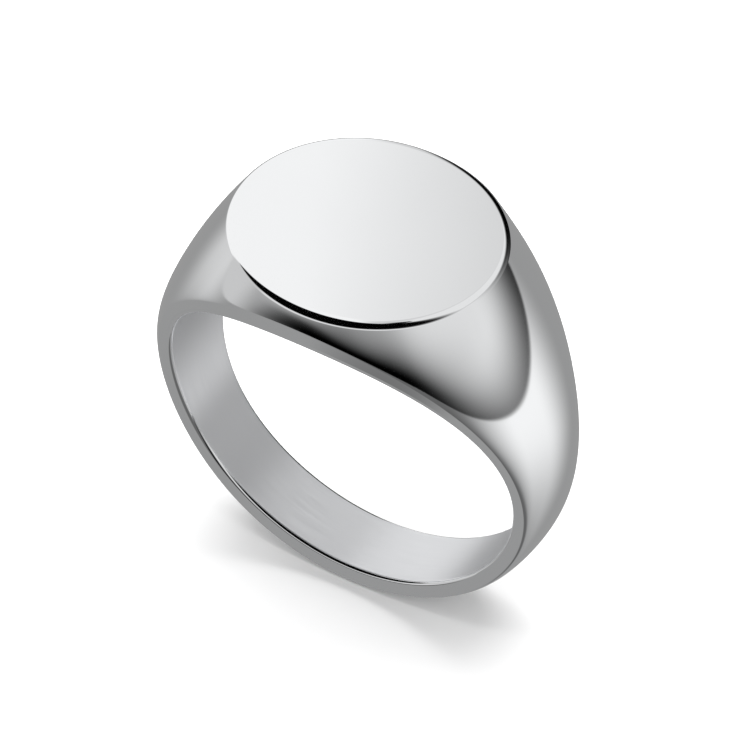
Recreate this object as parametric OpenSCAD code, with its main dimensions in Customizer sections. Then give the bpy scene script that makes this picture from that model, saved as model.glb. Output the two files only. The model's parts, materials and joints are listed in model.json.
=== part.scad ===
// Signet ring: a plain, nearly round table on a ring that narrows from the head to the base.
// The finger goes along Y, the table faces +Z, and the centre of the finger bore is the origin.
// Every outer surface comes from one family of cross-sections, so the pieces meet flush.

/* [Finger bore] */
// inside diameter of the ring, the finger size
bore_d = 18; // [14:0.2:23]
// wall of the satin sleeve that lines the ring
sleeve_t = 0.3; // [0.25:0.05:0.5]

/* [Table] */
// length of the table across the finger, to the outside of its edge
table_l = 13; // [8:0.1:16]
// width of the table along the finger, to the outside of its edge
table_w = 11.9; // [8:0.01:16]
// metal between the finger bore and the top of the table
crest_t = 2.1; // [1.6:0.1:3.5]
// depth of the table plate at its edge
plate_t = 0.5; // [0.4:0.05:0.8]
// radius that rolls the edge of the table over
edge_r = 0.46; // [0.1:0.02:0.5]
// diameter of the spigot that seats the table plate in the head
spigot_d = 8; // [4:0.1:10]
// how far the spigot goes into the head
spigot_h = 0.5; // [0.3:0.05:0.8]

/* [Widths along the finger] */
// how far the head stands out past the table, front and back
head_lip = 0.29; // [0.15:0.01:0.8]
// width of the band at the base of the ring
base_w = 3.53; // [2:0.1:7]
// how fast the width falls away from the head, larger is faster
width_fall = 2.95; // [1:0.01:4]

/* [Thickness of the band] */
// whole thickness at the base, on the centre line
base_t = 1.05; // [0.9:0.01:2.5]
// whole thickness at the side, on the centre line
side_t = 1.63; // [1:0.01:3]
// how fast the side thins towards the base, in millimetres for each radian
side_taper = 0.8; // [0:0.01:2]
// how the side bends in along the same line, in millimetres for each radian squared, minus for out
side_bend = 0.78; // [-3:0.01:5]

/* [Flat rim at each mouth] */
// width of the flat rim beside the table
rim_top = 0.93; // [0.35:0.01:1]
// width of the flat rim at the sides
rim_side = 0.62; // [0.35:0.01:1]
// width of the flat rim at the base
rim_base = 0.83; // [0.35:0.01:1.1]

/* [Roundness of the section] */
// power of the outer curve at the head, 2 is an ellipse and 1 a parabola
round_top = 1.2; // [1:0.01:3]
// power of the outer curve at the sides
round_side = 1.6; // [1:0.01:4]
// power of the outer curve at the base
round_base = 3.13; // [1:0.01:5]

/* [Joints] */
// angle from the edge of the table to the joint of head and shoulder
head_past = 7; // [4:0.5:15]
// angle from the top of the ring to the joint of shoulder and shank
shank_from = 112; // [95:1:140]
// length of the tenons at the joints
tenon_l = 1; // [0.5:0.1:2]
// clearance round each tenon
tenon_gap = 0.02; // [0.01:0.01:0.05]

/* [Hidden] */
$fn = 96;
bore_r = bore_d / 2;
table_r = table_l / 2;
table_z = bore_r + crest_t;
seat_z = table_z - plate_t;
sleeve_r = bore_r + sleeve_t;
head_w = table_w + 2 * head_lip;
table_a = atan(table_r / table_z);
head_a = table_a + head_past;
side_a = 72.5;
steps = 12;
column_a = 2.5;
// the flats of the seat touch the sleeve from outside
seat_r = sleeve_r / cos(column_a / 2);
silver = [0.80, 0.81, 0.82];
satin = [0.68, 0.69, 0.71];

// ---------- the family of cross-sections, at an angle a from the top ----------
// half the width of the ring
function half_w(a) = (base_w + (head_w - base_w) * pow((1 + cos(a)) / 2, width_fall)) / 2;

// a value that goes smoothly from the top through the sides to the base
function round_trip(a, top, side, base) =
    side + (top - base) / 2 * cos(a) + ((top + base) / 2 - side) * pow(cos(a), 2);

function rim_r(a) = bore_r + round_trip(a, rim_top, rim_side, rim_base);
function section_power(a) = round_trip(a, round_top, round_side, round_base);

// crown under the table, set so that the plane of the table cuts an oval
function crown_in(a) =
    let (edge_y2 = pow(table_w / 2, 2) * (1 - pow(table_z * tan(a) / table_r, 2)))
    let (across = 1 - edge_y2 / pow(half_w(a), 2))
    rim_r(a) + (table_z / cos(a) - rim_r(a)) / pow(across, 1 / section_power(a));

// curve with a given value, slope and bend at each end, u from 0 to 1
function ease(u, v0, s0, c0, v1, s1, c1) =
    v0 * (1 - 10 * pow(u, 3) + 15 * pow(u, 4) - 6 * pow(u, 5))
    + s0 * (u - 6 * pow(u, 3) + 8 * pow(u, 4) - 3 * pow(u, 5))
    + c0 / 2 * (pow(u, 2) - 3 * pow(u, 3) + 3 * pow(u, 4) - pow(u, 5))
    + v1 * (10 * pow(u, 3) - 15 * pow(u, 4) + 6 * pow(u, 5))
    + s1 * (7 * pow(u, 4) - 4 * pow(u, 3) - 3 * pow(u, 5))
    + c1 / 2 * (pow(u, 3) - 2 * pow(u, 4) + pow(u, 5));

// value, slope and bend of the crown at the edge of the table, for each degree
da = 0.1;
edge_v = crown_in(table_a);
edge_s = (3 * edge_v - 4 * crown_in(table_a - da) + crown_in(table_a - 2 * da)) / (2 * da);
edge_c = (edge_v - 2 * crown_in(table_a - da) + crown_in(table_a - 2 * da)) / pow(da, 2);
rad = PI / 180;

function crown_side(a) =
    let (w = side_a - table_a)
    ease((a - table_a) / w, edge_v, edge_s * w, edge_c * w * w,
        bore_r + side_t, -side_taper * rad * w, -side_bend * pow(rad * w, 2));

function crown_base(a) =
    let (w = 180 - side_a)
    ease((a - side_a) / w, bore_r + side_t, -side_taper * rad * w, -side_bend * pow(rad * w, 2),
        bore_r + base_t, 0, 0);

function crown_r(a) =
    let (b = abs(a) > 180 ? 360 - abs(a) : abs(a))
    b < table_a ? crown_in(b) : b < side_a ? crown_side(b) : crown_base(b);

// radius of the outer surface, t from -1 at the front mouth to 1 at the back mouth
function skin_r(a, t) =
    rim_r(a) + (crown_r(a) - rim_r(a)) * pow(max(0, 1 - t * t), 1 / section_power(a));

// t where the section comes up through a level plane, or nearly 0 if it stays below it
function level_t(a, z) =
    let (up = z / max(cos(a), 0.01) - rim_r(a))
    let (over = crown_r(a) - rim_r(a))
    up >= over ? 0.02 : max(0.02, sqrt(1 - pow(up / over, section_power(a))));

function polar(a, r, y) = [r * sin(a), y, r * cos(a)];

// angles at an even step, and those of the head, which follow points spaced evenly round the table
function even(from, to) =
    let (n = ceil((to - from) / column_a)) [for (i = [0 : n]) from + (to - from) * i / n];

function head_angles() =
    let (n = ceil(180 * table_r / table_z / column_a))
    concat(
        [for (a = even(-head_a, -table_a)) if (a < -table_a - 0.01) a],
        [for (i = [0 : n]) atan(table_r * sin(180 * i / n - 90) / table_z)],
        [for (a = even(table_a, head_a)) if (a > table_a + 0.01) a]);

// one closed cross-section, from inside the bore out over the crown and back in
function section(a, z) =
    let (h = half_w(a), first = asin(level_t(a, z)))
    let (side = [for (i = [0 : steps]) sin(first + (90 - first) * i / steps)])
    concat(
        [polar(a, seat_r, -h)],
        [for (i = [steps : -1 : 0]) polar(a, skin_r(a, side[i]), -h * side[i])],
        [for (i = [0 : steps]) polar(a, skin_r(a, side[i]), h * side[i])],
        [polar(a, seat_r, h)]);

// ---------- solids ----------
// part of the ring with a cross-section at each of the given angles, flat at the table's level
module sector(angles) {
    columns = len(angles) - 1;
    m = 2 * steps + 4;
    points = [for (a = angles) for (p = section(a, table_z)) p];
    skin = [
        for (i = [0 : columns - 1]) for (j = [0 : m - 1])
            for (f = [[i * m + j, i * m + (j + 1) % m, (i + 1) * m + (j + 1) % m],
                [i * m + j, (i + 1) * m + (j + 1) % m, (i + 1) * m + j]]) f
    ];
    start = [for (j = [m - 1 : -1 : 0]) j];
    end = [for (j = [0 : m - 1]) columns * m + j];
    polyhedron(points, concat(skin, [start, end]), convexity = 6);
}

// tenon across the joint at an angle, with its length starting inside the piece that owns it
module tenon(a, low, high, wide, gap) {
    rotate([0, a, 0])
        translate([-tenon_l - gap, -wide / 2 - gap, low - gap])
            cube([2 * (tenon_l + gap), wide + 2 * gap, high - low + 2 * gap]);
}

// the deep tenon sits between head and shoulder, the thin one between shoulder and shank
module head_tenon(a, gap = 0) {
    mid = (sleeve_r + crown_r(head_a)) / 2;
    tenon(a, mid - 0.4, mid + 0.4, half_w(head_a), gap);
}

module shank_tenon(a, gap = 0) {
    mid = (sleeve_r + crown_r(shank_from)) / 2;
    tenon(a, mid - 0.18, mid + 0.18, half_w(shank_from) * 0.9, gap);
}

// oval solid like the table seen from above, through levels of [distance out from the table's outline, height]
module oval(levels) {
    m = 96;
    top = len(levels) - 1;
    points = [
        for (p = levels) for (i = [0 : m - 1])
            [(table_l / 2 + p[0]) * cos(360 * i / m), (table_w / 2 + p[0]) * sin(360 * i / m), p[1]]
    ];
    skin = [
        for (k = [0 : top - 1]) for (i = [0 : m - 1])
            for (f = [[k * m + i, (k + 1) * m + i, (k + 1) * m + (i + 1) % m],
                [k * m + i, (k + 1) * m + (i + 1) % m, k * m + (i + 1) % m]]) f
    ];
    foot = [for (i = [0 : m - 1]) i];
    lid = [for (i = [m - 1 : -1 : 0]) top * m + i];
    polyhedron(points, concat(skin, [foot, lid]), convexity = 4);
}

// nearly round plate with a rolled edge and a round spigot below
module face_plate() {
    color(silver) {
        intersection() {
            difference() {
                sector(head_angles());
                translate([0, 0, seat_z - head_w])
                    cube(2 * head_w, center = true);
            }
            oval(concat([[2, seat_z - 1], [0.6, seat_z]],
                [for (b = [60 : -15 : 0]) [edge_r * (sin(b) - 0.5), table_z - edge_r * (1 - cos(b))]]));
        }
        translate([0, 0, seat_z - spigot_h])
            cylinder(d = spigot_d, h = spigot_h + 0.1);
    }
}

// block that carries the table, open below for the finger and grooved for the shoulders
module head_body() {
    color(silver)
        difference() {
            sector(head_angles());
            translate([0, 0, seat_z + head_w])
                cube(2 * head_w, center = true);
            translate([0, 0, seat_z - spigot_h])
                cylinder(d = spigot_d, h = spigot_h + 1);
            head_tenon(head_a, tenon_gap);
            head_tenon(-head_a, tenon_gap);
        }
}

// shoulder on the +X side, with a tenon for the head and a mortise for the shank
module right_shoulder() {
    color(silver)
        difference() {
            union() {
                sector(even(head_a, shank_from));
                head_tenon(head_a);
            }
            shank_tenon(shank_from, tenon_gap);
        }
}

module left_shoulder() {
    mirror([1, 0, 0])
        right_shoulder();
}

// lower part of the band
module shank() {
    color(silver)
        union() {
            sector(even(shank_from, 360 - shank_from));
            shank_tenon(shank_from);
            shank_tenon(-shank_from);
        }
}

// thin sleeve with the true finger bore, trimmed to the two curved mouths
module inner_sleeve() {
    rows = [for (a = [0 : 4 : 180]) [sleeve_r * cos(a), half_w(a)]];
    color(satin)
        difference() {
            intersection() {
                rotate([90, 0, 0])
                    cylinder(r = sleeve_r, h = 2 * head_w, center = true, $fn = 180);
                rotate([0, -90, 0])
                    linear_extrude(height = 3 * bore_d, center = true)
                        polygon(concat([[sleeve_r + 1, half_w(0)]], rows, [[-sleeve_r - 1, half_w(180)]],
                            [[-sleeve_r - 1, -half_w(180)]],
                            [for (i = [len(rows) - 1 : -1 : 0]) [rows[i][0], -rows[i][1]]],
                            [[sleeve_r + 1, -half_w(0)]]));
            }
            rotate([90, 0, 0])
                cylinder(r = bore_r, h = 3 * head_w, center = true, $fn = 180);
        }
}

face_plate();
head_body();
left_shoulder();
right_shoulder();
shank();
inner_sleeve();
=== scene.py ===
"""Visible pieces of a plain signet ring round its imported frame, with their metals and the studio."""

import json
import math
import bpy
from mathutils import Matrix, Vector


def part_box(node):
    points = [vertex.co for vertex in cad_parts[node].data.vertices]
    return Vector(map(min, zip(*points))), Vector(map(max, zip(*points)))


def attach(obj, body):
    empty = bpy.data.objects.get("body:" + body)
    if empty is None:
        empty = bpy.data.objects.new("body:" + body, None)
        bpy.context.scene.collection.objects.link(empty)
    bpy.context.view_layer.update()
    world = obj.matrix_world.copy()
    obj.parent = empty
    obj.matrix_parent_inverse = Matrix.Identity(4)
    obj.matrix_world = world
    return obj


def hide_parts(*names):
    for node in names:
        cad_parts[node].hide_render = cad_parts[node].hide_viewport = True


bl_info = {
    "name": "Signet Ring",
    "version": (1, 0, 0),
    "blender": (4, 5, 0),
    "location": "View3D > Sidebar > Signet Ring",
    "description": "Plain signet ring: table, head, shoulders, shank and satin sleeve, with a studio",
    "category": "Object",
}

import bpy
import numpy as np
from bpy.props import FloatProperty, PointerProperty, StringProperty
from mathutils import Matrix

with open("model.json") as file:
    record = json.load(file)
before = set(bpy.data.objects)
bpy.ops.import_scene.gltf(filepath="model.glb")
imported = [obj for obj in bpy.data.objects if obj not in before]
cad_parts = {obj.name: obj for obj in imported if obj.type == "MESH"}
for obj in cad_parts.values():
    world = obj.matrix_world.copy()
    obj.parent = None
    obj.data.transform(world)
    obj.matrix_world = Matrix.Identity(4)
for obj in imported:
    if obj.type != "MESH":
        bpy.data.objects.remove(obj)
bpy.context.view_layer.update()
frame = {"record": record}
MOUNTS = {mount["name"]: mount for mount in frame["record"]["mounts"]}
BORE_R = MOUNTS["finger_bore"]["dims"]["r_mm"] / 1000
TABLE_Z = MOUNTS["table"]["pos_m"][2]
SLEEVE_R = float(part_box("inner_sleeve")[1][0])
HEAD_Y = float(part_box("head_body")[1][1])
SEAT_Z = float(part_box("head_body")[1][2])
BASE_Z = float(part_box("shank")[0][2])
MM = 0.001

# how finely the pieces are meshed
BAND_COLUMN = math.radians(0.75)
BAND_ROWS = 96
HEAD_ROWS = 40
PLATE_ROWS = 6
EDGE_ROWS = 12
TABLE_RINGS = 24
SLEEVE_COLUMNS = 480
SLEEVE_ROWS = 24
MOUTH_ROWS = 8
# step for slopes worked out from two nearby points
TINY = math.radians(0.02)
# distance within which two radii of the sleeve count as the same
SEAM = 0.005 * MM
UP = np.array([0, 0, 1.0])


# ---------- settings ----------
def size(name, description, default):
    """A length in metres."""
    kind = {"subtype": "DISTANCE", "unit": "LENGTH", "precision": 6}
    return FloatProperty(name=name, description=description, default=default, min=0, **kind)


def angle(name, description, degrees):
    """An angle, given here in degrees."""
    kind = {"subtype": "ANGLE", "unit": "ROTATION"}
    return FloatProperty(name=name, description=description, default=math.radians(degrees), **kind)


def number(name, description, default, least):
    """A number without a unit, or with one that its description names."""
    return FloatProperty(name=name, description=description, default=default, min=least)


def roughness(name, description, default):
    """A roughness from 0, a mirror, to 1."""
    return FloatProperty(name=name, description=description, default=default, min=0, max=1, subtype="FACTOR")


def colour(name, description, default):
    """A colour as sRGB hex."""
    return StringProperty(name=name, description=description + ", sRGB hex", default=default)


class RingShape(bpy.types.PropertyGroup):
    """Sizes of the ring that the frame does not give as a box or a mount."""

    table_x: size("Table, across", "Half the table across the finger, to the outside of its edge", 0.0065)
    table_y: size("Table, along", "Half the table along the finger, to the outside of its edge", 0.00595)
    edge_r: size("Table edge", "Radius that rolls the edge of the table over", 0.00046)
    crown_h: size("Table crown", "How far polishing leaves the middle of the table above its edge", 0.00006)
    spigot_r: size("Spigot radius", "Radius of the spigot under the table plate", 0.004)
    spigot_h: size("Spigot depth", "How far the spigot goes into the head", 0.0005)
    spigot_gap: size("Spigot gap", "Clearance round the spigot, for the solder", 0.00001)
    base_w: size("Base width", "Width of the band at the base of the ring", 0.00353)
    side_t: size("Side thickness", "Whole thickness at the side, on the centre line", 0.00163)
    rim_top: size("Rim at the top", "Width of the flat rim beside the table", 0.00093)
    rim_side: size("Rim at the sides", "Width of the flat rim at the sides", 0.00062)
    rim_base: size("Rim at the base", "Width of the flat rim at the base", 0.00083)
    mouth_r: size("Mouth edge", "Radius that eases the sleeve's edge at each mouth", 0.00018)
    width_fall: number("Width fall", "How fast the width falls away from the head", 2.95, 1)
    round_top: number("Roundness, head", "Power of the section at the head", 1.2, 1)
    round_side: number("Roundness, sides", "Power of the section at the sides", 1.6, 1)
    round_base: number("Roundness, base", "Power of the section at the base", 3.13, 1)
    side_taper: number("Side taper", "Thinning of the side, in mm for each radian", 0.8, -5)
    side_bend: number("Side bend", "Bend of the side, in mm for each radian squared", 0.78, -5)
    side_a: angle("Side angle", "Angle from the top to the side station", 72.5)
    head_past: angle("Head joint", "Angle from the table's edge to the shoulder", 7)
    shank_from: angle("Shank joint", "Angle from the top to the shank", 112)


class RingFinish(bpy.types.PropertyGroup):
    """Colours and polish of the two finishes."""

    polished_hex: colour("Polished steel", "Colour of the mirror polished steel", "F4F5F6")
    polished_rough: roughness("Polish", "Roughness left by the polishing mop", 0.05)
    satin_hex: colour("Satin steel", "Colour of the satin steel in the bore", "E3E4E6")
    satin_rough: roughness("Satin", "Roughness left by the abrasive in the bore", 0.36)
    scratch_mm: number("Brushing pitch", "Spacing of the brushing lines in the bore, in mm", 0.12, 0.01)


class RingStudio(bpy.types.PropertyGroup):
    """Camera, floor and light."""

    azimuth: angle("Azimuth", "Camera angle round the ring, from the front mouth", 30.74)
    elevation: angle("Elevation", "Camera angle above the floor", 44.9)
    roll: angle("Roll", "Roll of the camera about its own axis", 0.25)
    distance: size("Distance", "Camera distance from the centre of the bore", 1.2)
    view_w: size("View width", "Width of the view at the ring", 0.034226)
    floor_hex: colour("Floor", "Colour of the floor", "F4F4F4")
    floor_light: number("Overhead light", "Power of the overhead softbox on the floor, in watts", 1.35, 0)
    floor_half: size("Floor", "Half the length of the floor's side", 0.6)
    lamp_d: size("Softbox", "Diameter of the overhead softbox", 0.36)


# ---------- the ring's form, in metres and radians, angles from the top ----------
def ease(u, start, end):
    """Quintic curve from (value, slope, bend) to (value, slope, bend), u from 0 to 1."""
    (v0, s0, c0), (v1, s1, c1) = start, end
    return (
        v0 * (1 - 10 * u**3 + 15 * u**4 - 6 * u**5)
        + s0 * (u - 6 * u**3 + 8 * u**4 - 3 * u**5)
        + c0 / 2 * (u**2 - 3 * u**3 + 3 * u**4 - u**5)
        + v1 * (10 * u**3 - 15 * u**4 + 6 * u**5)
        + s1 * (7 * u**4 - 4 * u**3 - 3 * u**5)
        + c1 / 2 * (u**3 - 2 * u**4 + u**5)
    )


def round_trip(a, top, side, base):
    """A value that goes smoothly from the top through the sides to the base."""
    return side + (top - base) / 2 * np.cos(a) + ((top + base) / 2 - side) * np.cos(a) ** 2


class Form:
    """The outer surface: a section at each angle a, crossed by s from -90 degrees at the front to 90."""

    def __init__(self, shape):
        self.p = shape
        self.table_a = math.atan(shape.table_x / TABLE_Z)
        self.head_a = self.table_a + shape.head_past
        d = math.radians(0.1)
        v0, v1, v2 = (float(self.crown_in(np.array(self.table_a - k * d))) for k in range(3))
        self.edge = (v0, (3 * v0 - 4 * v1 + v2) / (2 * d), (v0 - 2 * v1 + v2) / d**2)
        self.side = (BORE_R + shape.side_t, -shape.side_taper * MM, -shape.side_bend * MM)
        self.base = (-BASE_Z, 0, 0)

    def half_w(self, a):
        """Half the width of the ring along the finger."""
        share = np.maximum((1 + np.cos(a)) / 2, 0) ** self.p.width_fall
        return (self.p.base_w + (2 * HEAD_Y - self.p.base_w) * share) / 2

    def rim_r(self, a):
        """Radius of the rim's outer edge."""
        return BORE_R + round_trip(a, self.p.rim_top, self.p.rim_side, self.p.rim_base)

    def power(self, a):
        """Power that rounds the section."""
        return round_trip(a, self.p.round_top, self.p.round_side, self.p.round_base)

    def crown_in(self, a):
        """Crown under the table, set so that the plane of the table cuts an oval."""
        edge_y2 = self.p.table_y**2 * (1 - (TABLE_Z * np.tan(a) / self.p.table_x) ** 2)
        across = 1 - edge_y2 / self.half_w(a) ** 2
        rise = TABLE_Z / np.cos(a) - self.rim_r(a)
        return self.rim_r(a) + rise / np.maximum(across, 1e-4) ** (1 / self.power(a))

    def crown_r(self, a):
        """Radius of the surface on the centre line."""
        a = np.abs((a + math.pi) % (2 * math.pi) - math.pi)

        def span(low, high, start, end):
            w = high - low
            ends = [(v, s * w, c * w * w) for v, s, c in (start, end)]
            return ease(np.clip((a - low) / w, 0, 1), *ends)

        side = span(self.table_a, self.p.side_a, self.edge, self.side)
        base = span(self.p.side_a, math.pi, self.side, self.base)
        inner = self.crown_in(np.minimum(a, self.table_a))
        return np.where(a < self.table_a, inner, np.where(a < self.p.side_a, side, base))

    def point(self, a, s):
        """Point of the surface."""
        a, s = np.broadcast_arrays(np.asarray(a, float), np.asarray(s, float))
        rim = self.rim_r(a)
        r = rim + (self.crown_r(a) - rim) * np.maximum(np.cos(s), 0) ** (2 / self.power(a))
        return np.stack([r * np.sin(a), self.half_w(a) * np.sin(s), r * np.cos(a)], -1)

    def normal(self, a, s):
        """Outward normal of the surface."""
        a, s = np.broadcast_arrays(np.asarray(a, float), np.asarray(s, float))
        d = TINY
        s = np.clip(s, -math.pi / 2 + 2 * d, math.pi / 2 - 2 * d)
        n = np.cross(self.point(a, s + d) - self.point(a, s - d), self.point(a + d, s) - self.point(a - d, s))
        n /= np.linalg.norm(n, axis=-1, keepdims=True)
        out = np.stack([np.sin(a), 0 * a, np.cos(a)], -1)
        mid = self.point(a, s) - BORE_R * out
        return n * np.sign((n * mid).sum(-1, keepdims=True))

    def rim(self, a, side, share):
        """Flat rim at one mouth, share from 0 at the sleeve's seat to 1 at the outer edge."""
        r = SLEEVE_R + (self.rim_r(a) - SLEEVE_R) * share
        return np.stack([r * np.sin(a), side * self.half_w(a), r * np.cos(a)], -1)


# ---------- mesh helpers ----------
def unit(vectors):
    """Vectors made one long."""
    return vectors / np.linalg.norm(vectors, axis=-1, keepdims=True)


def on_cylinder(r, a, y):
    """Points at a radius from the bore's axis."""
    return np.stack([r * np.sin(a), y, r * np.cos(a)], -1)


class Skin:
    """Closed mesh gathered from patches, each with its own smooth normals, joined where their points meet."""

    def __init__(self):
        self.points = []
        self.index = {}
        self.faces = []
        self.normals = []

    def vertex(self, p):
        """Number of a point, which is shared by all patches that meet there."""
        key = tuple(int(round(c * 1e9)) for c in p)
        if key not in self.index:
            self.index[key] = len(self.points)
            self.points.append(tuple(float(c) for c in p))
        return self.index[key]

    def face(self, corners, normals, out):
        """Adds one face, turned to look along out, without repeated corners."""
        kept = [i for i in range(len(corners)) if corners[i] != corners[i - 1]]
        if len(kept) < 3:
            return
        ring = [np.array(self.points[corners[i]]) for i in kept]
        area = sum(np.cross(ring[i] - ring[0], ring[i + 1] - ring[0]) for i in range(1, len(ring) - 1))
        if area @ out < 0:
            kept.reverse()
        self.faces.append([corners[i] for i in kept])
        self.normals += [normals[i] for i in kept]

    def patch(self, grid, normals):
        """Adds a grid of four-sided faces."""
        ids = [[self.vertex(p) for p in row] for row in grid]
        for i in range(len(ids) - 1):
            for j in range(len(ids[0]) - 1):
                spots = ((i, j), (i + 1, j), (i + 1, j + 1), (i, j + 1))
                corners = [ids[u][v] for u, v in spots]
                turned = [normals[u][v] for u, v in spots]
                self.face(corners, turned, sum(turned))

    def flat(self, loop, out):
        """One flat face with many corners."""
        out = np.array(out, float)
        self.face([self.vertex(p) for p in loop], [out] * len(loop), out)

    def build(self, name, node, material):
        """Makes the piece, ties it to the frame's root and hides the part of the frame that it stands for."""
        mesh = bpy.data.meshes.new(name)
        mesh.from_pydata(self.points, [], self.faces)
        mesh.polygons.foreach_set("use_smooth", [True] * len(mesh.polygons))
        mesh.normals_split_custom_set([tuple(map(float, unit(n))) for n in self.normals])
        mesh.update()
        piece = bpy.data.objects.new(name, mesh)
        bpy.context.scene.collection.objects.link(piece)
        mesh.materials.append(material)
        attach(piece, "root")
        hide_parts(node)
        return piece


def grid_normals(grid, out):
    """Normals of a fine grid of points, turned to look along out."""
    n = np.cross(np.gradient(grid, axis=0, edge_order=2), np.gradient(grid, axis=1, edge_order=2))
    n /= np.maximum(np.linalg.norm(n, axis=-1, keepdims=True), 1e-30)
    return n * np.sign((n * out).sum(-1, keepdims=True))


def add_end(skin, form, a, outer, way):
    """Flat end face at an angle, inside a row of points of the outer surface."""
    loop = np.concatenate([form.rim(np.array([a]), -1, 0), outer, form.rim(np.array([a]), 1, 0)])
    skin.flat(loop, (way * math.cos(a), 0, -way * math.sin(a)))


def add_inside(skin, form, angles):
    """Flat rims at both mouths and the seat of the sleeve."""
    share = np.array([[0.0, 1.0]])
    a = angles[:, None]
    for side in (-1, 1):
        rim = np.stack([form.rim(angles, side, k) for k in (0.0, 1.0)], 1)
        skin.patch(rim, rim_normals(form, a, share, side))
    seat = np.stack([form.rim(angles, -1, 0), form.rim(angles, 1, 0)], 1)
    inward = -np.stack([np.sin(a), 0 * a, np.cos(a)], -1)
    skin.patch(seat, np.broadcast_to(inward, seat.shape))


def rim_normals(form, a, share, side):
    """Normals of the flat rim, from how the width changes round the ring."""
    slope = (form.half_w(a + TINY) - form.half_w(a - TINY)) / (2 * TINY) + 0 * share
    r = SLEEVE_R + (form.rim_r(a) - SLEEVE_R) * share
    n = np.stack([-side * slope * np.cos(a) / r, 1.0 + 0 * r, side * slope * np.sin(a) / r], -1)
    return side * unit(n)


# ---------- the table's edge and the head, on lines that run out from the table ----------
def table_lines(form, across=56, along=40):
    """Where each line leaves the table's outline and where it ends, as (a, s). Four end in the head's corners."""

    def start(b):
        a = math.atan(form.p.table_x * math.sin(b) / TABLE_Z)
        y = form.p.table_y * math.cos(b)
        return a, math.asin(max(-1.0, min(1.0, y / float(form.half_w(np.array(a))))))

    def reach(b):
        a, s = start(b)
        return abs(a) / form.head_a, abs(s) / (math.pi / 2)

    low, high = 0.0, math.pi / 2
    for _ in range(60):
        mid = (low + high) / 2
        u, v = reach(mid)
        low, high = (mid, high) if u < v else (low, mid)
    corner = (low + high) / 2
    quarter = [corner * i / across for i in range(across)]
    quarter += [corner + (math.pi / 2 - corner) * i / along for i in range(along)]
    turns = quarter + [math.pi - b for b in [math.pi / 2] + quarter[:0:-1]]
    turns += [math.pi + b for b in turns]
    lines = []
    for b in turns:
        a, s = start(b)
        u, v = a / form.head_a, s / (math.pi / 2)
        k = max(abs(u), abs(v))
        lines.append(((a, s), (form.head_a * u / k, math.pi / 2 * v / k)))
    return lines


def along_line(lines, share):
    """Points (a, s) at a share of each line, share being an array with one value for each."""
    start = np.array([line[0] for line in lines])
    end = np.array([line[1] for line in lines])
    at = start + (end - start) * np.asarray(share)[:, None]
    return at[:, 0], at[:, 1]


def solve_share(lines, value):
    """Share of each line where a falling value passes zero, by halving."""
    low = np.zeros(len(lines))
    high = np.full(len(lines), 0.98)
    for _ in range(50):
        mid = (low + high) / 2
        a, s = along_line(lines, mid)
        above = value(a, s) > 0
        low = np.where(above, mid, low)
        high = np.where(above, high, mid)
    return (low + high) / 2


def closed(grid):
    """Repeats the first row at the end, so that a patch closes on itself."""
    return np.concatenate([grid, grid[:1]])


def circle(form, lines, r, z):
    """Points round a circle in step with the lines."""
    starts = np.array([line[0] for line in lines])
    x = TABLE_Z * np.tan(starts[:, 0])
    y = np.sin(starts[:, 1]) * form.half_w(starts[:, 0])
    n = np.hypot(x, y)
    return np.stack([x / n * r, y / n * r, 0 * x + z], -1)


def plate_edges(form, lines):
    """Where the rolled edge meets the wall, and where the plate ends on the head."""
    r = form.p.edge_r

    def rolled(a, s):
        return form.point(a, s)[:, 2] - TABLE_Z + r * (1 - form.normal(a, s)[:, 2])

    def seated(a, s):
        return form.point(a, s)[:, 2] - SEAT_Z

    return solve_share(lines, rolled), solve_share(lines, seated)


def wall_rows(form, lines, start, end, rows):
    """Grid of surface points and normals between two shares of each line."""
    cols = [along_line(lines, start + (end - start) * i / rows) for i in range(rows + 1)]
    grid = np.stack([form.point(a, s) for a, s in cols], 1)
    normals = np.stack([form.normal(a, s) for a, s in cols], 1)
    return grid, normals


def add_table(skin, rim, rise):
    """Table, crowned a little by the polishing, inside the given outline."""
    middle = np.array([0, 0, TABLE_Z])
    share = 1 - np.arange(TABLE_RINGS + 1) / TABLE_RINGS
    table = middle + (rim - middle)[:, None] * share[None, :, None]
    table[..., 2] += rise * (1 - share**2)
    reach = np.linalg.norm((rim - middle), axis=-1)[:, None]
    slope = 2 * rise * share / reach
    normals = (rim - middle)[:, None] / reach[..., None] * slope[..., None] + UP
    skin.patch(closed(table), closed(unit(normals)))


def rolled_edge(form, lines, share):
    """Grid and normals of the edge that rolls from the table's plane down to the wall."""
    a, s = along_line(lines, share)
    touch, n = form.point(a, s), form.normal(a, s)
    centre = touch - form.p.edge_r * n
    whole = np.arccos(np.clip(n[:, 2], -1, 1))[:, None]
    turns = [whole * i / EDGE_ROWS for i in range(EDGE_ROWS + 1)]
    normals = [(np.sin(whole - turn) * UP + np.sin(turn) * n) / np.sin(whole) for turn in turns]
    grid = [centre + form.p.edge_r * way for way in normals]
    grid[-1] = touch
    return np.stack(grid, 1), np.stack(normals, 1)


def add_turned(skin, top, foot, way):
    """Round wall between two circles, looking out (1) or in (-1)."""
    wall = closed(np.stack([top, foot], 1))
    skin.patch(wall, unit(way * wall * np.array([1, 1, 0])))


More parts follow.
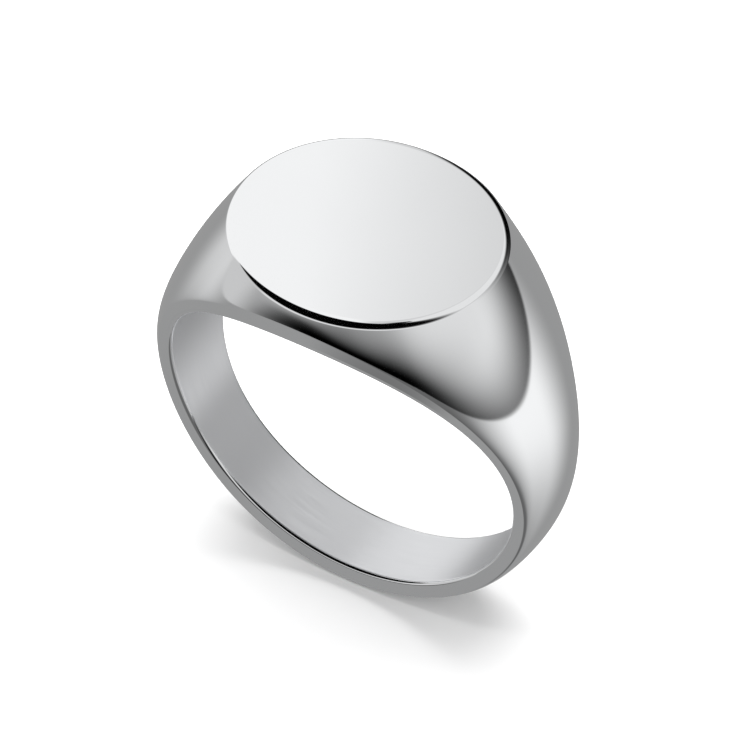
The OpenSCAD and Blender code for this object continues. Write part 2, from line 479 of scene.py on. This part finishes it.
def table_plate(form, material):
    """Table plate: flat table, rolled edge, side and the spigot below."""
    skin = Skin()
    lines = table_lines(form)
    start, end = plate_edges(form, lines)
    edge, edge_n = rolled_edge(form, lines, start)
    skin.patch(closed(edge), closed(edge_n))
    add_table(skin, edge[:, 0], form.p.crown_h)
    wall, wall_n = wall_rows(form, lines, start, end, PLATE_ROWS)
    skin.patch(closed(wall), closed(wall_n))

    top = circle(form, lines, form.p.spigot_r, SEAT_Z)
    foot = circle(form, lines, form.p.spigot_r, SEAT_Z - form.p.spigot_h)
    under = closed(np.stack([wall[:, -1], top], 1))
    skin.patch(under, np.broadcast_to(-UP, under.shape))
    add_turned(skin, top, foot, 1)
    skin.flat(foot, -UP)
    return skin.build("table_plate", "face_plate", material)


def head(form, material):
    """Head block: sides that run out from the table, rims, seat of the sleeve and recess of the spigot."""
    skin = Skin()
    lines = table_lines(form)
    _, start = plate_edges(form, lines)
    wall, normals = wall_rows(form, lines, start, np.ones(len(lines)), HEAD_ROWS)
    skin.patch(closed(wall), closed(normals))

    ends = np.array([line[1] for line in lines])
    front = sorted({float(a) for a, s in ends if s < -math.pi / 2 + 1e-9})
    add_inside(skin, form, np.array(front))
    for way in (-1, 1):
        t = way * form.head_a
        side = sorted({float(s) for a, s in ends if abs(a - t) < 1e-9})
        add_end(skin, form, t, form.point(np.full(len(side), t), np.array(side)), way)

    gap_r = form.p.spigot_r + form.p.spigot_gap
    mouth = circle(form, lines, gap_r, SEAT_Z)
    floor = circle(form, lines, gap_r, SEAT_Z - form.p.spigot_h)
    seat = closed(np.stack([wall[:, 0], mouth], 1))
    skin.patch(seat, np.broadcast_to(UP, seat.shape))
    add_turned(skin, mouth, floor, -1)
    skin.flat(floor, UP)
    return skin.build("head_block", "head_body", material)


def band(form, name, node, low, high, material):
    """A shoulder or the shank, between two angles."""
    skin = Skin()
    columns = max(2, round((high - low) / BAND_COLUMN))
    angles = np.linspace(low, high, columns + 1)
    a = angles[:, None]
    s = np.linspace(-math.pi / 2, math.pi / 2, BAND_ROWS + 1)[None, :]
    outer = form.point(a, s)
    skin.patch(outer, form.normal(a, s))
    add_inside(skin, form, angles)
    for end, way in ((0, -1), (-1, 1)):
        add_end(skin, form, float(angles[end]), outer[end], way)
    return skin.build(name, node, material)


def sleeve(form, satin, polished):
    """Sleeve: satin bore, polished eased mouths and flat ends, and the outside that sits in the ring."""
    skin = Skin()
    a = np.linspace(-math.pi, math.pi, SLEEVE_COLUMNS, endpoint=False)
    half = form.half_w(a)
    r = min(form.p.mouth_r, 0.8 * (SLEEVE_R - BORE_R))
    # the eased mouth from the bore to the flat end: radius, and how far it lies inside the end
    turns = np.linspace(0, math.pi / 2, MOUTH_ROWS + 1)
    eased = [(BORE_R + r * (1 - math.cos(t)), r * (1 - math.sin(t))) for t in turns]
    front = [on_cylinder(reach, a, inset - half) for reach, inset in reversed(eased)]
    wall = [on_cylinder(BORE_R, a, k * (half - r)) for k in np.linspace(-1, 1, SLEEVE_ROWS + 1)[1:-1]]
    back = [on_cylinder(reach, a, half - inset) for reach, inset in eased]
    ends = [on_cylinder(SLEEVE_R, a, side * half) for side in (-1, 1)]
    grid = closed(np.stack([ends[0], *front, *wall, *back, ends[1]], 1))

    inner = grid[:, 1:-1]
    toward = inner * np.array([-1, 0, -1])
    toward[:, 0] = (0, -1, 0)
    toward[:, -1] = (0, 1, 0)
    skin.patch(inner, grid_normals(inner, toward))
    for end, side in ((grid[:, :2], -1), (grid[:, -2:], 1)):
        skin.patch(end, np.broadcast_to(np.array([0, side, 0.0]), end.shape))
    outside = grid[:, [0, -1]]
    skin.patch(outside, unit(outside * np.array([1, 0, 1])))

    piece = skin.build("bore_sleeve", "inner_sleeve", satin)
    piece.data.materials.append(polished)
    for face in piece.data.polygons:
        reach = math.hypot(face.center.x, face.center.z)
        if BORE_R + SEAM < reach < SLEEVE_R - SEAM:
            face.material_index = 1
    return piece


# ---------- materials ----------
def linear(hex_code):
    """sRGB hex colour as linear RGBA."""
    values = [int(hex_code[i : i + 2], 16) / 255 for i in (0, 2, 4)]
    return [v / 12.92 if v <= 0.04045 else ((v + 0.055) / 1.055) ** 2.4 for v in values] + [1.0]


def node(tree, kind, settings=None, links=None):
    """Adds a node, sets its attributes and sockets, and links its inputs."""
    new = tree.nodes.new(kind)
    for key, value in (settings or {}).items():
        if isinstance(key, str) and hasattr(new, key):
            setattr(new, key, value)
        else:
            new.inputs[key].default_value = value
    for key, source in (links or {}).items():
        tree.links.new(source, new.inputs[key])
    return new


def new_material(name):
    """Empty material and its node tree."""
    material = bpy.data.materials.new(name)
    material.use_nodes = True
    material.node_tree.nodes.clear()
    return material, material.node_tree


def noise(tree, place, spacing, **settings):
    """Level of a noise whose grains lie a given distance apart."""
    settings = {"Scale": 1 / spacing} | {key.replace("_", " "): value for key, value in settings.items()}
    return node(tree, "ShaderNodeTexNoise", settings, {"Vector": place}).outputs["Fac"]


def spread(tree, level, low, high, least, most):
    """Turns the middle part of a noise level into values between two ends."""
    ends = {"From Min": low, "From Max": high, "To Min": least, "To Max": most}
    return node(tree, "ShaderNodeMapRange", ends, {"Value": level}).outputs["Result"]


def relief(tree, level, strength, depth, under=None):
    """Relief of a given depth, on top of another relief where there is one."""
    links = {"Height": level} | ({"Normal": under} if under else {})
    return node(tree, "ShaderNodeBump", {"Strength": strength, "Distance": depth}, links).outputs["Normal"]


def finish_metal(tree, hex_code, rough, normal):
    """Bare metal surface and the material's output."""
    settings = {"Base Color": linear(hex_code), "Metallic": 1.0}
    surface = node(tree, "ShaderNodeBsdfPrincipled", settings, {"Roughness": rough, "Normal": normal})
    node(tree, "ShaderNodeOutputMaterial", {}, {"Surface": surface.outputs["BSDF"]})


def mirror_polished_steel(finish):
    """Stainless steel, cast, then mopped to a mirror: faint long waves and a haze of hairline marks."""
    material, tree = new_material("mirror_polished_steel")
    place = node(tree, "ShaderNodeTexCoord").outputs["Object"]
    # long waves that the mop leaves, 4 mm apart and 2 thousandths of a millimetre deep: reflections bend on them
    waves = relief(tree, noise(tree, place, 4 * MM, Detail=1.0), 1.0, 0.002 * MM)
    # mop marks are a few hundredths of a millimetre apart, drawn at 0.25 mm so that they show at all
    marks = noise(tree, place, 0.25 * MM, Detail=4.0, Roughness=0.6)
    normal = relief(tree, marks, 0.02, 0.002 * MM, waves)
    # patches of slightly hazier polish, 3 mm apart
    haze = noise(tree, place, 3 * MM, Detail=2.0)
    rough = finish.polished_rough
    finish_metal(tree, finish.polished_hex, spread(tree, haze, 0.3, 0.7, rough * 0.8, rough * 1.25), normal)
    return material


def satin_steel(finish):
    """Stainless steel, rubbed round the bore with fine abrasive: close lines that run round the finger."""
    material, tree = new_material("satin_brushed_steel")
    place = node(tree, "ShaderNodeTexCoord").outputs["Object"]
    parts = node(tree, "ShaderNodeSeparateXYZ", {}, {"Vector": place}).outputs
    turn = node(tree, "ShaderNodeMath", {"operation": "ARCTAN2"}, {0: parts["X"], 1: parts["Z"]}).outputs[0]
    # the pattern is short along the finger and long round the bore, so its grains are lines
    pitch = 1 / (finish.scratch_mm * MM)
    along = node(tree, "ShaderNodeMath", {"operation": "MULTIPLY", 1: pitch}, {0: parts["Y"]}).outputs[0]
    around = node(tree, "ShaderNodeMath", {"operation": "MULTIPLY", 1: 3.0}, {0: turn}).outputs[0]
    where = node(tree, "ShaderNodeCombineXYZ", {}, {"X": along, "Y": around}).outputs[0]
    lines = noise(tree, where, 1.0, Detail=3.0, Roughness=0.65)
    # the ridges stand up to a hundredth of a millimetre high, and are rougher than the grooves
    rough = finish.satin_rough
    wear = spread(tree, lines, 0.25, 0.75, rough * 0.85, rough * 1.2)
    finish_metal(tree, finish.satin_hex, wear, relief(tree, lines, 0.12, 0.01 * MM))
    return material


STEELS = {"mirror_polished_steel": mirror_polished_steel, "satin_brushed_steel": satin_steel}


def get_material(name):
    """Material of that name, made when it is first asked for."""
    return bpy.data.materials.get(name) or STEELS[name](bpy.context.scene.ring_finish)


# ---------- studio ----------
# What the polished steel mirrors: soft-edged cards over a grey board, with darkness between them. Each has a
# name, the azimuth of its middle from the front, its half-width and the softness of its sides, its lowest and
# highest point above the horizon and the softness of each, all in degrees, and its level as the eye sees it.
CARDS = (
    ("left card", -80, 45, 45, 15, 30, 5, 10, 0.6),
    ("left card, low part", -90, 25, 50, 0, 30, 10, 10, 0.8),
    ("front card", 25, 70, 10, 25, 30, 20, 10, 0.9),
    ("right card", 105, 0, 80, 15, 40, 30, 10, 0.9),
    ("ceiling", 165, 60, 40, 50, 90, 15, 1, 0.92),
)
BOARD = (
    ("front of the board", 25, 20, 35, -90, 0, 1, 1, 0.4),
    ("left of the board", -90, 5, 25, 0, 0, 30, 1, 0.85),
    ("right of the board", 110, 10, 40, 0, 0, 70, 1, 1.0),
)
DARK = 0.02
BOARD_GREY = 0.6
# height of the board's far edge as the ring sees it, in degrees
HORIZON = -10
# half of the blur where the board meets what is behind it
HORIZON_SOFT = 0.6
# the board's edge is nearer, and so lower, in front: like a card, with the drop as its level
DIP = ("dip in front", -25, 0, 70, -90, 90, 1, 1, 20)
# the large softbox behind the ring on the left ends at two straight edges. Each has the way into the box, and
# how far along that way the edge lies.
SOFTBOX_EDGES = (((-0.8, -0.35, 0.0), -0.04), ((-0.3, 1.0, 0.2), 0.16))
SOFTBOX_SOFT = 0.05
# height over which its lower end fades in, in degrees
SOFTBOX_LOW = (1, 9)
# its level at two places along the way into the box from its first edge
SOFTBOX_LEVELS = ((0.04, 0.84), (0.09, 0.99))
# turns a level as the eye sees it into light
EYE_POWER = 2.2
# the even light that falls on the floor from all round
DOME_LIGHT = 0.9
LAMP_AT = (-0.05, 0.085, 0.28)
# where the bore's centre lies from the middle of the view, left and down, in view widths
AIM = (0.0099, 0.0377)
SENSOR_MM = 36


def fade(tree, value, start, end, first=0.0, last=1.0):
    """Goes smoothly from one level to another between two values."""
    ends = {"From Min": start, "From Max": end, "To Min": first, "To Max": last}
    settings = {"interpolation_type": "SMOOTHSTEP"} | ends
    return node(tree, "ShaderNodeMapRange", settings, {"Value": value}).outputs["Result"]


def reckon(tree, operation, *values):
    """One step of arithmetic on numbers and sockets."""
    links = {i: value for i, value in enumerate(values) if not isinstance(value, (int, float))}
    constants = {i: value for i, value in enumerate(values) if i not in links}
    return node(tree, "ShaderNodeMath", {"operation": operation} | constants, links).outputs[0]


def card_mask(tree, azimuth, height, card):
    """Soft rectangle of one card, as a factor."""
    _, at, half, soft, low, high, low_soft, high_soft, _ = card
    away = reckon(tree, "SUBTRACT", azimuth, math.radians(at))
    gap = reckon(tree, "ABSOLUTE", reckon(tree, "WRAP", away, math.pi, -math.pi))
    edges = [math.radians(v) for v in (half, half + soft, low - low_soft, low, high, high + high_soft)]
    wide = fade(tree, gap, edges[0], edges[1], 1.0, 0.0)
    below = fade(tree, height, edges[2], edges[3])
    above = fade(tree, height, edges[4], edges[5], 1.0, 0.0)
    return reckon(tree, "MULTIPLY", wide, reckon(tree, "MULTIPLY", below, above))


def blend(tree, share, under, over):
    """Mixes two levels, each a number or a socket."""
    mix = node(tree, "ShaderNodeMix", {"data_type": "FLOAT"}, {0: share})
    for key, level in ((2, under), (3, over)):
        if isinstance(level, float):
            mix.inputs[key].default_value = level
        else:
            tree.links.new(level, mix.inputs[key])
    return mix.outputs[0]


def paint(tree, azimuth, height, ground, cards):
    """Lays the cards over a ground level of grey."""
    level = ground
    for card in cards:
        level = blend(tree, card_mask(tree, azimuth, height, card), level, card[-1])
    return level


def along_way(tree, way, inward):
    """How far the direction goes along a given way."""
    settings = {"operation": "DOT_PRODUCT", 1: inward}
    return node(tree, "ShaderNodeVectorMath", settings, {0: way}).outputs["Value"]


def add_softbox(tree, way, height, sky):
    """Lays the softbox over the cards."""
    low, full = (math.radians(v) for v in SOFTBOX_LOW)
    box = fade(tree, height, low, full)
    for inward, at in SOFTBOX_EDGES:
        inside = fade(tree, along_way(tree, way, inward), at - SOFTBOX_SOFT, at + SOFTBOX_SOFT)
        box = reckon(tree, "MULTIPLY", box, inside)
    (near, dim), (far, bright) = SOFTBOX_LEVELS
    toward = along_way(tree, way, SOFTBOX_EDGES[0][0])
    return blend(tree, box, sky, spread(tree, toward, near, far, dim, bright))


def studio_world():
    """World that stands for the cards and the board that the ring mirrors."""
    world = bpy.data.worlds.new("ring_studio")
    world.use_nodes = True
    tree = world.node_tree
    tree.nodes.clear()
    way = node(tree, "ShaderNodeTexCoord").outputs["Generated"]
    parts = node(tree, "ShaderNodeSeparateXYZ", {}, {"Vector": way}).outputs
    azimuth = reckon(tree, "ARCTAN2", parts["X"], reckon(tree, "MULTIPLY", parts["Y"], -1.0))
    elevation = reckon(tree, "ARCSINE", parts["Z"])
    dip = card_mask(tree, azimuth, elevation, DIP)
    drop = reckon(tree, "MULTIPLY_ADD", dip, math.radians(DIP[-1]), -math.radians(HORIZON))
    height = reckon(tree, "ADD", elevation, drop)

    sky = add_softbox(tree, way, height, paint(tree, azimuth, height, DARK, CARDS))
    board = paint(tree, azimuth, height, BOARD_GREY, BOARD)
    soft = math.radians(HORIZON_SOFT)
    shown = blend(tree, spread(tree, height, -soft, soft, 0.0, 1.0), board, sky)
    light = reckon(tree, "POWER", shown, EYE_POWER)
    rays = node(tree, "ShaderNodeLightPath").outputs
    # only mirrored rays see the cards: the floor is lit by an even dome and stands before plain white
    even = blend(tree, rays["Is Glossy Ray"], DOME_LIGHT, light)
    pale = blend(tree, rays["Is Camera Ray"], even, 1.0)
    back = node(tree, "ShaderNodeBackground", {"Strength": 1.0}, {"Color": pale})
    node(tree, "ShaderNodeOutputWorld", {}, {"Surface": back.outputs["Background"]})
    bpy.context.scene.world = world


def matt_white_board(studio):
    """White board with a matt, slightly toothed face, which throws no highlight."""
    material, tree = new_material("matt_white_board")
    place = node(tree, "ShaderNodeTexCoord").outputs["Object"]
    # tooth of the board, about 0.4 mm
    tooth = relief(tree, noise(tree, place, 0.4 * MM, Detail=2.0), 0.02, 0.01 * MM)
    settings = {"Base Color": linear(studio.floor_hex), "Roughness": 0.9, "Specular IOR Level": 0.0}
    surface = node(tree, "ShaderNodeBsdfPrincipled", settings, {"Normal": tooth})
    node(tree, "ShaderNodeOutputMaterial", {}, {"Surface": surface.outputs["BSDF"]})
    return material


def studio_floor(studio):
    """Pale floor, under the ring."""
    z = BASE_Z
    half = studio.floor_half
    mesh = bpy.data.meshes.new("floor")
    corners = [(x * half, y * half, z) for x, y in ((-1, -1), (1, -1), (1, 1), (-1, 1))]
    mesh.from_pydata(corners, [], [(0, 1, 2, 3)])
    mesh.materials.append(matt_white_board(studio))
    floor = bpy.data.objects.new("floor", mesh)
    bpy.context.scene.collection.objects.link(floor)
    floor.visible_glossy = False


def studio_light(studio):
    """Large soft overhead light, for the floor and the soft shadow on it."""
    light = bpy.data.lights.new("overhead_softbox", "AREA")
    light.shape = "DISK"
    light.size = studio.lamp_d
    light.energy = studio.floor_light
    lamp = bpy.data.objects.new("overhead_softbox", light)
    lamp.location = LAMP_AT
    x, y, z = LAMP_AT
    lamp.rotation_euler = (math.atan2(math.hypot(x, y), z), 0, math.atan2(x, -y) + math.pi)
    lamp.visible_glossy = False
    bpy.context.scene.collection.objects.link(lamp)


def studio_camera(studio):
    """Long lens at the ring's portrait angle."""
    camera = bpy.data.cameras.new("ring_camera")
    camera.sensor_width = SENSOR_MM
    camera.lens = SENSOR_MM * studio.distance / studio.view_w
    camera.clip_start = 0.01
    camera.clip_end = 10
    eye = bpy.data.objects.new("ring_camera", camera)
    az, el = studio.azimuth, studio.elevation
    back = np.array([math.sin(az) * math.cos(el), -math.cos(az) * math.cos(el), math.sin(el)])
    level = np.array([math.cos(az), math.sin(az), 0])
    right = level * math.cos(studio.roll) + np.cross(back, level) * math.sin(studio.roll)
    up = np.cross(back, right)
    aim = studio.view_w * (AIM[0] * right + AIM[1] * up)
    turn = Matrix((right, up, back)).transposed().to_4x4()
    eye.matrix_world = Matrix.Translation(back * studio.distance + aim) @ turn
    bpy.context.scene.collection.objects.link(eye)
    bpy.context.scene.camera = eye


# ---------- operators ----------
class RING_OT_table(bpy.types.Operator):
    """Makes the table plate with its rolled edge"""

    bl_idname = "ring.table"
    bl_label = "Table"

    def execute(self, context):
        table_plate(Form(context.scene.ring_shape), get_material("mirror_polished_steel"))
        return {"FINISHED"}


class RING_OT_head(bpy.types.Operator):
    """Makes the head block under the table"""

    bl_idname = "ring.head"
    bl_label = "Head"

    def execute(self, context):
        head(Form(context.scene.ring_shape), get_material("mirror_polished_steel"))
        return {"FINISHED"}


class RING_OT_shoulders(bpy.types.Operator):
    """Makes the left and right shoulders"""

    bl_idname = "ring.shoulders"
    bl_label = "Shoulders"

    def execute(self, context):
        shape = context.scene.ring_shape
        form = Form(shape)
        steel = get_material("mirror_polished_steel")
        band(form, "shoulder_right", "right_shoulder", form.head_a, shape.shank_from, steel)
        band(form, "shoulder_left", "left_shoulder", -shape.shank_from, -form.head_a, steel)
        return {"FINISHED"}


class RING_OT_shank(bpy.types.Operator):
    """Makes the shank, the lower part of the band"""

    bl_idname = "ring.shank"
    bl_label = "Shank"

    def execute(self, context):
        shape = context.scene.ring_shape
        steel = get_material("mirror_polished_steel")
        band(Form(shape), "shank_band", "shank", shape.shank_from, 2 * math.pi - shape.shank_from, steel)
        return {"FINISHED"}


class RING_OT_sleeve(bpy.types.Operator):
    """Makes the satin sleeve in the finger bore"""

    bl_idname = "ring.sleeve"
    bl_label = "Sleeve"

    def execute(self, context):
        satin = get_material("satin_brushed_steel")
        polished = get_material("mirror_polished_steel")
        sleeve(Form(context.scene.ring_shape), satin, polished)
        return {"FINISHED"}


class RING_OT_studio(bpy.types.Operator):
    """Makes the floor, the light, the surroundings and the camera"""

    bl_idname = "ring.studio"
    bl_label = "Studio"

    def execute(self, context):
        studio = context.scene.ring_studio
        studio_world()
        studio_floor(studio)
        studio_light(studio)
        studio_camera(studio)
        context.scene.view_settings.view_transform = "Standard"
        return {"FINISHED"}


class RING_PT_panel(bpy.types.Panel):
    """Lists the ring's pieces and settings"""

    bl_idname = "RING_PT_panel"
    bl_label = "Signet Ring"
    bl_space_type = "VIEW_3D"
    bl_region_type = "UI"
    bl_category = "Signet Ring"

    def draw(self, context):
        for step in STEPS:
            self.layout.operator(step.bl_idname)
        for group in (context.scene.ring_shape, context.scene.ring_finish, context.scene.ring_studio):
            box = self.layout.box()
            for name in group.__annotations__:
                box.prop(group, name)


STEPS = (RING_OT_table, RING_OT_head, RING_OT_shoulders, RING_OT_shank, RING_OT_sleeve, RING_OT_studio)
CLASSES = (RingShape, RingFinish, RingStudio) + STEPS + (RING_PT_panel,)


def register():
    """Adds the settings, the steps and the panel."""
    for cls in CLASSES:
        bpy.utils.register_class(cls)
    bpy.types.Scene.ring_shape = PointerProperty(type=RingShape)
    bpy.types.Scene.ring_finish = PointerProperty(type=RingFinish)
    bpy.types.Scene.ring_studio = PointerProperty(type=RingStudio)


def unregister():
    """Takes them away again."""
    del bpy.types.Scene.ring_shape
    del bpy.types.Scene.ring_finish
    del bpy.types.Scene.ring_studio
    for cls in reversed(CLASSES):
        bpy.utils.unregister_class(cls)


def main():
    """Builds the ring and its studio."""
    register()
    bpy.ops.ring.table()
    bpy.ops.ring.head()
    bpy.ops.ring.shoulders()
    bpy.ops.ring.shank()
    bpy.ops.ring.sleeve()
    bpy.ops.ring.studio()
    bpy.context.view_layer.update()


if __name__ == "__main__":
    main()
